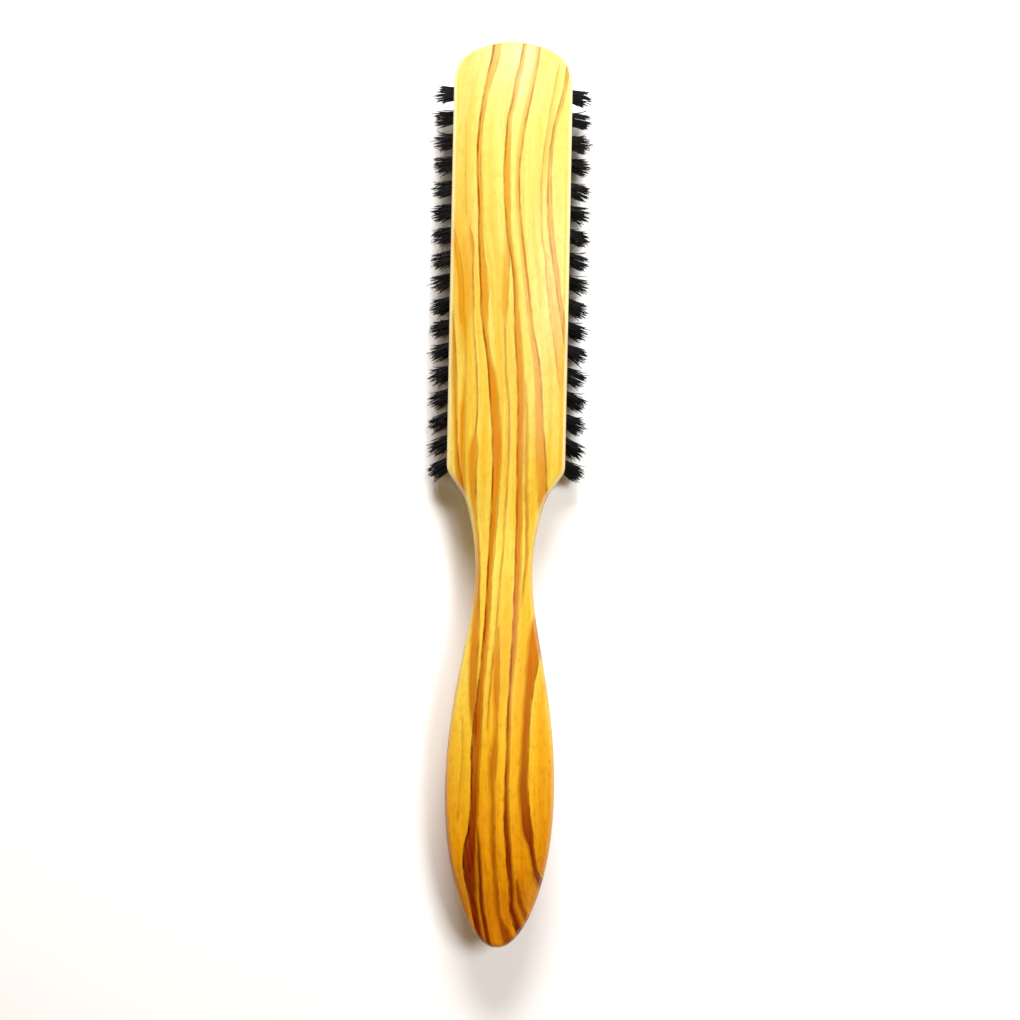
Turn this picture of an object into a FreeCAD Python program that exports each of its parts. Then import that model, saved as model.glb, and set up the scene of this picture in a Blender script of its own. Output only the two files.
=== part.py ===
"""Long-handled bristle brush: a one-piece carved olive-wood body, filled with bristle tufts that are
folded over flat wire staples.

Frame, in millimetres: +Y towards the toe of the head, +X to the right, +Z up through the back.
The brush stands on its bristle tips at Z = 0, with the origin under the middle of its length.
"""
import FreeCAD, Part
import math
import os

from FreeCAD import Placement, Rotation, Vector

# ---------------------------------------------------------------- body, seen from above
overall_length = 220.0
head_width = 28.7
head_length = 103.9          # toe to the corner where the head ends
toe_arc_radius = 24.0        # shallow arc across the toe
toe_corner_radius = 7.5
heel_corner_radius = 4.0
shoulder_angle = 35.0        # degrees, heel corner's slope from the long axis
shoulder_inset = 3.5         # how far the straight shoulder runs inwards
neck_width = 13.8
neck_behind_heel = 24.6      # heel corner to the narrowest place
grip_width = 26.5
grip_to_tip = 38.5           # widest place of the grip to the tip

# ---------------------------------------------------------------- body, seen from the side
bristle_height = 11.5        # wood face above the bristle tips, along the middle
head_thickness = 12.7        # at the middle of the head's crown
toe_drop = 1.7               # back's fall from the crown to the toe
heel_drop = 1.1              # back's fall from the crown to the heel
neck_drop = 2.3              # back's fall from the crown to the neck
grip_drop = 0.1              # back's fall from the crown to the widest grip
tip_drop = 4.4               # back's fall from the crown to the tip
neck_thickness = 9.3
grip_thickness = 14.3
tip_thickness = 5.8
outer_row_angle = 32.0       # degrees, how far the outer rows look out to the side
back_radius = 60.0           # crown across the head's back
neck_back_radius = 14.0
neck_belly_radius = 12.0
grip_back_radius = 22.0
grip_belly_radius = 22.0
back_edge_radius = 1.7
belly_edge_radius = 1.9
edge_land = 0.6              # least upright wall left between the two rounded edges
blank_margin = 1.5           # back and belly surfaces run this far past the head's sides

# ---------------------------------------------------------------- drilling and filling
row_count = 7                # rows across the head, the middle one is row 4
rank_count = 17              # tufts in each odd row; even rows have one fewer, half a pitch between
row_edge_margin = 2.05       # outer holes' centres in from the head's side
first_tuft_from_toe = 11.1
last_tuft_from_heel = 2.7
toe_fan = -10.0              # degrees, first tufts lean towards the toe
heel_fan = 16.0              # degrees, last tufts lean towards the grip
hole_radius = 1.4
wood_over_holes = 0.9        # least wood between a hole and the back
drill_point_angle = 120.0    # degrees, included angle of the hole's conical end
bundle_clearance = 0.02      # bristle bundle to hole wall
tip_flare = 0.87             # tuft's radius at its trimmed end, over the bundle's
tuft_overlength = 4.0        # length before trimming, past the bristle height
trim_allowance = 0.7         # trimming radius past the bristle height, so middle rows end level
staple_bite = 0.2            # each end of the staple, into the wood beside the hole
staple_wire = 0.35
staple_height = 1.6
staple_above_bottom = 1.0    # bristle folded under the staple

# ---------------------------------------------------------------- derived places
toe_y = overall_length / 2
tip_y = -overall_length / 2
heel_y = toe_y - head_length
neck_y = heel_y - neck_behind_heel
grip_y = tip_y + grip_to_tip
half_head = head_width / 2
half_neck = neck_width / 2
half_grip = grip_width / 2
crown_z = bristle_height + head_thickness
face_radius = (half_head - row_edge_margin) / math.sin(math.radians(outer_row_angle))
face_axis_z = bristle_height + face_radius


def mirrored(points):
    """The same points on the other side of the brush, in reverse order."""
    return [Vector(-p.x, p.y, p.z) for p in reversed(points)]


def bezier(points):
    """One edge through the control points."""
    curve = Part.BezierCurve()
    curve.setPoles(points)
    return curve.toShape()


def arc_at_corner(before, corner, after, radius):
    """Arc that rounds a corner, with its two tangent points."""
    to_before = (before - corner).normalize()
    to_after = (after - corner).normalize()
    half_angle = to_before.getAngle(to_after) / 2
    reach = radius / math.tan(half_angle)
    start = corner + to_before * reach
    end = corner + to_after * reach
    bisector = (to_before + to_after).normalize()
    middle = corner + bisector * (radius / math.sin(half_angle) - radius)
    return start, middle, end


def toe_edges():
    """Shallow arc across the toe and the round corner beside it, from the axis to the right side."""
    offset = half_head - toe_corner_radius
    centre = Vector(0, toe_y - toe_arc_radius, 0)
    corner_reach = toe_arc_radius - toe_corner_radius
    corner_y = centre.y + math.sqrt(corner_reach ** 2 - offset ** 2)
    corner_centre = Vector(offset, corner_y, 0)
    outward = (corner_centre - centre).normalize()
    joint = corner_centre + outward * toe_corner_radius
    bisector = (outward + Vector(1, 0, 0)).normalize()
    corner_middle = corner_centre + bisector * toe_corner_radius
    side_start = Vector(half_head, corner_y, 0)
    return joint, corner_middle, side_start


def outline_face():
    """Outline of the body seen from above, as a face at Z = 0."""
    slope = Vector(-math.sin(math.radians(shoulder_angle)), -math.cos(math.radians(shoulder_angle)), 0)
    heel_corner = Vector(half_head, heel_y, 0)
    shoulder_end = heel_corner + slope * (shoulder_inset / math.sin(math.radians(shoulder_angle)))
    neck = Vector(half_neck, neck_y, 0)
    grip = Vector(half_grip, grip_y, 0)
    neck_run = shoulder_end.y - neck_y
    grip_run = neck_y - grip_y
    joint, corner_middle, side_start = toe_edges()
    heel_start, heel_middle, heel_end = arc_at_corner(side_start, heel_corner, shoulder_end, heel_corner_radius)
    neck_curve = [
        shoulder_end,
        shoulder_end + slope * (0.13 * neck_run),
        neck + Vector(0, 0.48 * neck_run, 0),
        neck,
    ]
    grip_curve = [
        neck,
        neck - Vector(0, 0.26 * grip_run, 0),
        grip + Vector(0, 0.45 * grip_run, 0),
        grip,
    ]
    edges = [Part.Arc(Vector(-joint.x, joint.y, 0), Vector(0, toe_y, 0), joint).toShape()]
    for side in (1, -1):
        def place(point):
            return Vector(side * point.x, point.y, point.z)
        edges += [
            Part.Arc(place(joint), place(corner_middle), place(side_start)).toShape(),
            Part.LineSegment(place(side_start), place(heel_start)).toShape(),
            Part.Arc(place(heel_start), place(heel_middle), place(heel_end)).toShape(),
            Part.LineSegment(place(heel_end), place(shoulder_end)).toShape(),
            bezier([place(p) for p in neck_curve]),
            bezier([place(p) for p in grip_curve]),
        ]
    tip_ellipse = Part.Ellipse(Vector(0, tip_y, 0), Vector(half_grip, grip_y, 0), Vector(0, grip_y, 0))
    edges.append(Part.ArcOfEllipse(tip_ellipse, -math.pi / 2, math.pi / 2).toShape())
    return Part.Face(Part.Wire(Part.sortEdges(edges)[0]))


def dome_fall(x, radius):
    """Fall of a shallow dome at x from its middle."""
    return x * x / (2 * radius)


def face_fall(x):
    """Fall of the round drilled face at x from its middle."""
    return face_radius - math.sqrt(face_radius ** 2 - x * x)


def between(a, b, share):
    return a + (b - a) * share


def surface(stations, height):
    """Smooth face over the whole outline; height(station, x) gives Z across each station."""
    reach = half_head + blank_margin
    across = [reach * k / 6 for k in range(-6, 7)]
    grid = [[Vector(x, station[0], height(station, x)) for x in across] for station in stations]
    sheet = Part.BSplineSurface()
    sheet.interpolate(grid)
    return sheet.toShape()


def back_surface():
    """Back of the brush. Each station: y, height of the middle, dome radius."""
    stations = [
        (toe_y + 4, crown_z - toe_drop * 1.25, back_radius),
        (toe_y - 0.12 * head_length, crown_z - toe_drop * 0.52, back_radius),
        (toe_y - 0.30 * head_length, crown_z - toe_drop * 0.12, back_radius),
        (toe_y - 0.50 * head_length, crown_z, back_radius),
        (toe_y - 0.70 * head_length, crown_z - heel_drop * 0.18, back_radius * 0.98),
        (toe_y - 0.88 * head_length, crown_z - heel_drop * 0.62, back_radius * 0.85),
        (heel_y - 0.08 * neck_behind_heel, crown_z - heel_drop * 1.15, back_radius * 0.60),
        (heel_y - 0.50 * neck_behind_heel, crown_z - between(heel_drop, neck_drop, 0.80), neck_back_radius * 1.25),
        (neck_y, crown_z - neck_drop, neck_back_radius),
        (between(neck_y, grip_y, 0.30), crown_z - between(neck_drop, grip_drop, 0.30), neck_back_radius * 1.15),
        (between(neck_y, grip_y, 0.65), crown_z - between(neck_drop, grip_drop, 0.80), grip_back_radius * 0.92),
        (grip_y, crown_z - grip_drop, grip_back_radius),
        (between(grip_y, tip_y, 0.45), crown_z - between(grip_drop, tip_drop, 0.26), grip_back_radius),
        (tip_y - 4, crown_z - tip_drop * 1.15, grip_back_radius),
    ]
    return surface(stations, lambda station, x: station[1] - dome_fall(x, station[2]))


def belly_surface():
    """Underside. Each station: y, height of the middle, dome radius, share of dome over drilled face."""
    neck_z = crown_z - neck_drop - neck_thickness
    grip_z = crown_z - grip_drop - grip_thickness
    tip_z = crown_z - tip_drop - tip_thickness
    head = [(toe_y + 4 - k * (head_length + 1) / 7, bristle_height, neck_belly_radius, 0.0) for k in range(8)]
    handle = [
        (heel_y - 0.30 * neck_behind_heel, between(bristle_height, neck_z, 0.52), neck_belly_radius, 0.45),
        (heel_y - 0.62 * neck_behind_heel, between(bristle_height, neck_z, 0.98), neck_belly_radius, 0.90),
        (neck_y, neck_z, neck_belly_radius, 1.0),
        (between(neck_y, grip_y, 0.30), between(neck_z, grip_z, 0.40), neck_belly_radius * 1.15, 1.0),
        (between(neck_y, grip_y, 0.65), between(neck_z, grip_z, 0.86), grip_belly_radius * 0.92, 1.0),
        (grip_y, grip_z, grip_belly_radius, 1.0),
        (between(grip_y, tip_y, 0.45), between(grip_z, tip_z, 0.26), grip_belly_radius, 1.0),
        (tip_y - 4, between(grip_z, tip_z, 1.15), grip_belly_radius, 1.0),
    ]

    def height(station, x):
        return station[1] + between(face_fall(x), dome_fall(x, station[2]), station[3])

    return surface(head + handle, height)


def edge_middle(edge):
    return edge.valueAt((edge.FirstParameter + edge.LastParameter) / 2)


def rim(shape, surface_face):
    """Edges of the shape that lie on the surface."""
    return [edge for edge in shape.Edges if Part.Vertex(edge_middle(edge)).distToShape(surface_face)[0] < 0.01]


def edge_shrink():
    """Share of the edge radii that the lowest upright wall has room for, at most 1."""
    toe_wall = head_thickness - toe_drop - dome_fall(half_head, back_radius) - face_fall(half_head)
    heel_wall = head_thickness - heel_drop - dome_fall(half_head, 0.72 * back_radius) - face_fall(half_head)
    neck_wall = neck_thickness - dome_fall(half_neck, neck_back_radius) - dome_fall(half_neck, neck_belly_radius)
    room = min(toe_wall, heel_wall, neck_wall) - edge_land
    return min(1.0, room / (back_edge_radius + belly_edge_radius))


def rounded_body():
    """Outline cut between the back and the belly surfaces, with both rims rounded over."""
    column = outline_face().extrude(Vector(0, 0, 2 * crown_z))
    back, belly = back_surface(), belly_surface()
    under_back = back.extrude(Vector(0, 0, -3 * crown_z))
    over_belly = belly.extrude(Vector(0, 0, 3 * crown_z))
    body = column.common(under_back).common(over_belly).Solids[0]
    body = body.makeFillet(belly_edge_radius * edge_shrink(), rim(body, belly))
    return body.makeFillet(back_edge_radius * edge_shrink(), rim(body, back))


def drilled_depth():
    """Depth that leaves wood_over_holes at the outer row's toe end, where the head is thinnest."""
    turn = math.radians(outer_row_angle)
    mouth_x = face_radius * math.sin(turn)
    mouth_z = face_axis_z - face_radius * math.cos(turn)
    depth = 0.0
    for _ in range(30):
        ceiling = crown_z - toe_drop - dome_fall(mouth_x - depth * math.sin(turn), back_radius) - wood_over_holes
        depth = (ceiling - mouth_z - hole_radius * math.sin(turn)) / math.cos(turn)
    return depth


def tuft_stations():
    """(row, rank, placement) of every tuft: local +Z leaves the wood at the hole's mouth."""
    field_start = toe_y - first_tuft_from_toe
    field_length = head_length - first_tuft_from_toe - last_tuft_from_heel
    pitch = field_length / (rank_count - 1)
    places = []
    for row in range(1, row_count + 1):
        middle_row = (row_count + 1) / 2
        roll = outer_row_angle * (row - middle_row) / (middle_row - 1)
        staggered = row % 2 == 0
        count = rank_count - 1 if staggered else rank_count
        for k in range(count):
            along = k + (0.5 if staggered else 0.0)
            fan = toe_fan + (heel_fan - toe_fan) * along / (rank_count - 1)
            mouth = Vector(
                face_radius * math.sin(math.radians(roll)),
                field_start - along * pitch,
                face_axis_z - face_radius * math.cos(math.radians(roll)),
            )
            turn = Rotation(Vector(0, 1, 0), -roll).multiply(Rotation(Vector(1, 0, 0), 180 - fan))
            rank = int(round(2 * along)) + 1
            places.append((row, rank, Placement(mouth, turn)))
    return places


def hole_cutter(hole_depth):
    """Drilled hole with a conical end, run a little past the mouth."""
    past_mouth = 2.0
    point_depth = hole_radius / math.tan(math.radians(drill_point_angle / 2))
    profile = Part.makePolygon([
        Vector(0, 0, past_mouth),
        Vector(hole_radius, 0, past_mouth),
        Vector(hole_radius, 0, -hole_depth),
        Vector(0, 0, -hole_depth - point_depth),
        Vector(0, 0, past_mouth),
    ])
    return Part.Face(profile).revolve(Vector(0, 0, 0), Vector(0, 0, 1), 360)


def staple(hole_depth):
    """Flat wire staple that holds a tuft in its hole."""
    staple_width = 2 * (hole_radius + staple_bite)
    low = -hole_depth + staple_above_bottom
    corner = Vector(-staple_width / 2, -staple_wire / 2, low)
    return Part.makeBox(staple_width, staple_wire, staple_height, corner)


def tuft(hole_depth):
    """Bristle bundle folded at the bottom of the hole and spreading outside it, untrimmed."""
    bundle = hole_radius - bundle_clearance
    fold_z = -hole_depth + bundle
    length = bristle_height + tuft_overlength
    spread = bundle + tip_flare * length / bristle_height
    fold_middle = Vector(bundle * math.sin(math.pi / 4), 0, fold_z - bundle * math.cos(math.pi / 4))
    flare_middle = Vector(bundle + 0.42 * (spread - bundle), 0, length / 2)
    profile = Part.Wire([
        Part.Arc(Vector(0, 0, fold_z - bundle), fold_middle, Vector(bundle, 0, fold_z)).toShape(),
        Part.LineSegment(Vector(bundle, 0, fold_z), Vector(bundle, 0, 0)).toShape(),
        Part.Arc(Vector(bundle, 0, 0), flare_middle, Vector(spread, 0, length)).toShape(),
        Part.LineSegment(Vector(spread, 0, length), Vector(0, 0, length)).toShape(),
        Part.LineSegment(Vector(0, 0, length), Vector(0, 0, fold_z - bundle)).toShape(),
    ])
    whole = Part.Face(profile).revolve(Vector(0, 0, 0), Vector(0, 0, 1), 360)
    return whole.cut(staple(hole_depth))


def trim_shape():
    """Space that the trimmed bristles fill: round like the face, level along the middle rows."""
    trim_radius = face_radius + bristle_height + trim_allowance
    round_part = Part.makeCylinder(trim_radius, 2 * overall_length, Vector(0, -overall_length, face_axis_z),
                                   Vector(0, 1, 0))
    above_floor = Part.makeBox(4 * head_width, 2 * overall_length, 4 * crown_z,
                               Vector(-2 * head_width, -overall_length, 0))
    return round_part.common(above_floor)


def moved(shape, placement):
    copy = shape.copy()
    copy.Placement = placement
    return copy


def export(name, solids):
    """Writes one node; a node of several identical pieces holds them as separate solids."""
    shape = solids[0] if len(solids) == 1 else Part.makeCompound(solids)
    shape.exportStep(f"parts/{name}.step")
    volume = sum(s.Volume for s in solids)
    print(f"{name}: {len(solids)} solids, {volume:.1f} mm3, valid {all(s.isValid() for s in solids)}")


def main():
    os.makedirs("parts", exist_ok=True)
    places = tuft_stations()
    depth = drilled_depth()
    cutter, wire, bundle, trimmed = hole_cutter(depth), staple(depth), tuft(depth), trim_shape()
    print(f"face radius {face_radius:.2f}, hole depth {depth:.2f}, edge radii x {edge_shrink():.2f}")

    body = rounded_body()
    tools = [moved(shape, place) for _, _, place in places for shape in (cutter, wire)]
    drilled = body.cut(tools)
    export("brush_body", drilled.Solids)

    for rank in range(1, 2 * rank_count):
        tufts = [moved(bundle, place).common(trimmed).Solids[0] for _, r, place in places if r == rank]
        export(f"bristle_rank_{rank:02d}", tufts)

    for row in range(1, row_count + 1):
        export(f"staple_row_{row}", [moved(wire, place) for r, _, place in places if r == row])


main()
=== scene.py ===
# %% [markdown]
# # A one-piece olive-wood dry brush
# The real brush is one carved stick of olive wood: a long narrow head, a slim neck and an oval
# grip. 116 holes are drilled in the domed underside, and each holds a tuft of bristles folded
# double over a flat wire staple. The carved body and the staples come from the CAD model and keep
# their exact shapes. Blender adds what CAD can't: the figure of the wood and every single bristle.

# %% Load the frame
import math
import random

import bpy
from mathutils import Matrix, Vector


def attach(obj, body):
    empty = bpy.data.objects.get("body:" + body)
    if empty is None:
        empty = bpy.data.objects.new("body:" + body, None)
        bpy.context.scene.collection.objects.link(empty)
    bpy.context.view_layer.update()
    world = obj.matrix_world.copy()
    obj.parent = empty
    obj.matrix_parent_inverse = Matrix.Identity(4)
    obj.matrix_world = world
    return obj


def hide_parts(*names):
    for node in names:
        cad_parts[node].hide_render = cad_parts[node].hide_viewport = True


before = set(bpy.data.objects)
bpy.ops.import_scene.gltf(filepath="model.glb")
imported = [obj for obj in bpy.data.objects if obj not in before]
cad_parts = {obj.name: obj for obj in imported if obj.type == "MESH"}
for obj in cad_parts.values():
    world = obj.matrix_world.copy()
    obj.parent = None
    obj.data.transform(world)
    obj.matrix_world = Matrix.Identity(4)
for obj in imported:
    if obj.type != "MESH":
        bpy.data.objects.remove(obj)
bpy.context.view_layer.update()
bpy.ops.object.select_all(action="DESELECT")
MM = 0.001
print("CAD nodes:", len(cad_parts))

# %% [markdown]
# ## Camera
# The brush is seen from straight above, about a third of a metre away, so the outer tufts splay a
# little with perspective. The lens is an ordinary 50 mm one. The camera turns by about one degree,
# which makes the brush lean slightly to the right, as it was laid down.

# %% Camera straight above
BACK_HEIGHT = 22 * MM
VIEW_WIDTH = 245.7 * MM
VIEW_X, VIEW_Y = 1.2 * MM, -3.3 * MM
LENS, SENSOR = 50, 36
TURN = 1.13
NEAREST_SEEN = 10 * MM
lift = VIEW_WIDTH * LENS / SENSOR
bpy.ops.object.camera_add(
    location=(VIEW_X, VIEW_Y, BACK_HEIGHT + lift),
    rotation=(0, 0, math.radians(TURN)),
)
camera = bpy.context.object
camera.name = "overhead_camera"
camera.data.lens = LENS
camera.data.sensor_width = SENSOR
camera.data.clip_start = NEAREST_SEEN
bpy.context.scene.camera = camera
print("camera is", round(lift / MM), "mm above the back")

# %% [markdown]
# ## Floor and light
# A white table under soft studio light. Real softboxes are big panels close to the object, so area
# lights stand in for them. One stands low and near beyond the toe, one high on the right, and a
# small one hangs overhead, so shadows fall towards the grip and the left. The room adds a little
# warm light, which turns the shadows brown.

# %% White table
TABLE_SIZE = 6
bpy.ops.mesh.primitive_plane_add(size=TABLE_SIZE, location=(0, 0, 0))
table = bpy.context.object
table.name = "white_table"
table_paint = bpy.data.materials.new("white_table_paint")
table_paint.use_nodes = True
table_shader = table_paint.node_tree.nodes["Principled BSDF"]
table_shader.inputs["Base Color"].default_value = (0.93, 0.915, 0.91, 1)
table_shader.inputs["Roughness"].default_value = 0.8
table_shader.inputs["Specular IOR Level"].default_value = 0.2
table.data.materials.append(table_paint)

# %% Softboxes
BRUSH_MIDDLE = Vector((0, 0, 10 * MM))


def softbox(name, place, width, watts, tint):
    """A square panel of light at a place in metres, facing the middle of the brush."""
    facing = (BRUSH_MIDDLE - Vector(place)).to_track_quat("-Z", "Y").to_euler()
    bpy.ops.object.light_add(type="AREA", location=place, rotation=facing)
    panel = bpy.context.object
    panel.name = name
    panel.data.size = width
    panel.data.energy = watts
    panel.data.color = tint


softbox("softbox_toe", (0.0, 0.28, 0.27), 0.15, 2.1, (0.98, 0.98, 1.0))
softbox("softbox_right", (0.27, 0.15, 0.75), 0.20, 4.5, (0.95, 0.98, 1.0))
softbox("softbox_overhead", (0.0, 0.01, 1.05), 0.05, 0.4, (1.0, 1.0, 1.0))
room = bpy.data.worlds.new("white_room")
room.use_nodes = True
room_light = room.node_tree.nodes["Background"].inputs
room_light["Color"].default_value = (1.0, 0.70, 0.34, 1)
room_light["Strength"].default_value = 0.21
bpy.context.scene.world = room
bpy.context.scene.view_settings.view_transform = "Standard"

# %% [markdown]
# ## Small helpers for node trees
# Node trees are easier to read when a node and its links are made in one line. `add` makes a node,
# sets its values and joins its inputs to other nodes' outputs. `number`, `smooth` and `paint` make
# the three kinds used most, and take an output or a plain value for each of their inputs.

# %% Node helpers
def add(tree, kind, settings=None, values=None, links=None):
    """One new node in a tree: settings are its attributes, values its sockets, links its inputs."""
    node = tree.nodes.new("ShaderNode" + kind)
    for key, value in (settings or {}).items():
        setattr(node, key, value)
    for key, value in (values or {}).items():
        node.inputs[key].default_value = value
    for key, output in (links or {}).items():
        tree.links.new(output, node.inputs[key])
    return node


def feed(tree, node, sides):
    """Gives each named or numbered input its side: a link for an output, or a plain value."""
    for slot, side in sides.items():
        if isinstance(side, bpy.types.NodeSocket):
            tree.links.new(side, node.inputs[slot])
        else:
            node.inputs[slot].default_value = side


def number(tree, operation, first, second=0.0):
    """Output of a Math node."""
    node = add(tree, "Math", {"operation": operation})
    feed(tree, node, {0: first, 1: second})
    return node.outputs[0]


def smooth(tree, value, low, high, start=0.0, end=1.0):
    """Output that glides from start to end while the value goes from low to high."""
    node = add(tree, "MapRange", {"interpolation_type": "SMOOTHSTEP"})
    feed(tree, node, {"Value": value, "From Min": low, "From Max": high})
    feed(tree, node, {"To Min": start, "To Max": end})
    return node.outputs["Result"]


def paint(tree, factor, under, over):
    """Output colour that goes from under to over by factor; 6 and 7 are the node's colour inputs."""
    node = add(tree, "Mix", {"data_type": "RGBA"})
    feed(tree, node, {0: factor, 6: under, 7: over})
    return node.outputs[2]


def new_group(name, inputs, outputs):
    """An empty node group with named sockets, and its input and output nodes."""
    group = bpy.data.node_groups.new(name, "ShaderNodeTree")
    for label, kind, value in inputs:
        socket = group.interface.new_socket(label, in_out="INPUT", socket_type="NodeSocket" + kind)
        socket.default_value = value
    for label, kind in outputs:
        group.interface.new_socket(label, in_out="OUTPUT", socket_type="NodeSocket" + kind)
    return group, group.nodes.new("NodeGroupInput"), group.nodes.new("NodeGroupOutput")


# %% [markdown]
# ## How a vein of olive wood is drawn
# Olive wood is pale straw yellow with brown veins that run the length of the plank. A vein is a
# sheet of darker growth inside the wood, so it is drawn in the wood's own space and not as a
# picture: wherever the carved surface cuts the sheet, the vein shows, on the back, the sides and
# the underside. Seen across, a vein is a tan band that is often edged by one or two fine, dark
# lines. This group turns a distance from the vein's middle into those two masks: the band starts
# EDGE past its border, and a line is full up to LINE_CORE from the border and gone at LINE_REACH.
# Where a vein's half width runs out, from PLAIN down to HAIRLINE, both masks fade away. All five
# are in millimetres.

# %% Node group: one vein
vein_group, g_in, g_out = new_group(
    "wood_vein",
    [("Across", "Float", 0.0), ("Middle", "Float", 0.0), ("Half Width", "Float", 0.5),
     ("Left Fade", "Float", 0.5), ("Right Fade", "Float", 0.5),
     ("Left Line", "Float", 0.5), ("Right Line", "Float", 0.5)],
    [("Band", "Float"), ("Line", "Float")],
)
EDGE, LINE_CORE, LINE_REACH = -0.12, 0.12, 0.40
HAIRLINE, PLAIN = 0.03, 0.15
offset = number(vein_group, "SUBTRACT", g_in.outputs["Across"], g_in.outputs["Middle"])
from_left = number(vein_group, "ADD", g_in.outputs["Half Width"], offset)
from_right = number(vein_group, "SUBTRACT", g_in.outputs["Half Width"], offset)
inside_left = smooth(vein_group, from_left, EDGE, g_in.outputs["Left Fade"])
inside_right = smooth(vein_group, from_right, EDGE, g_in.outputs["Right Fade"])
band = number(vein_group, "MULTIPLY", inside_left, inside_right)
present = smooth(vein_group, g_in.outputs["Half Width"], HAIRLINE, PLAIN)
lines = []
for gap, strength in ((from_left, "Left Line"), (from_right, "Right Line")):
    core = smooth(vein_group, number(vein_group, "ABSOLUTE", gap), LINE_CORE, LINE_REACH, 1.0, 0.0)
    lines.append(number(vein_group, "MULTIPLY", core, g_in.outputs[strength]))
line = number(vein_group, "MAXIMUM", *lines)
vein_group.links.new(number(vein_group, "MULTIPLY", band, present), g_out.inputs["Band"])
vein_group.links.new(number(vein_group, "MULTIPLY", line, present), g_out.inputs["Line"])
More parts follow.
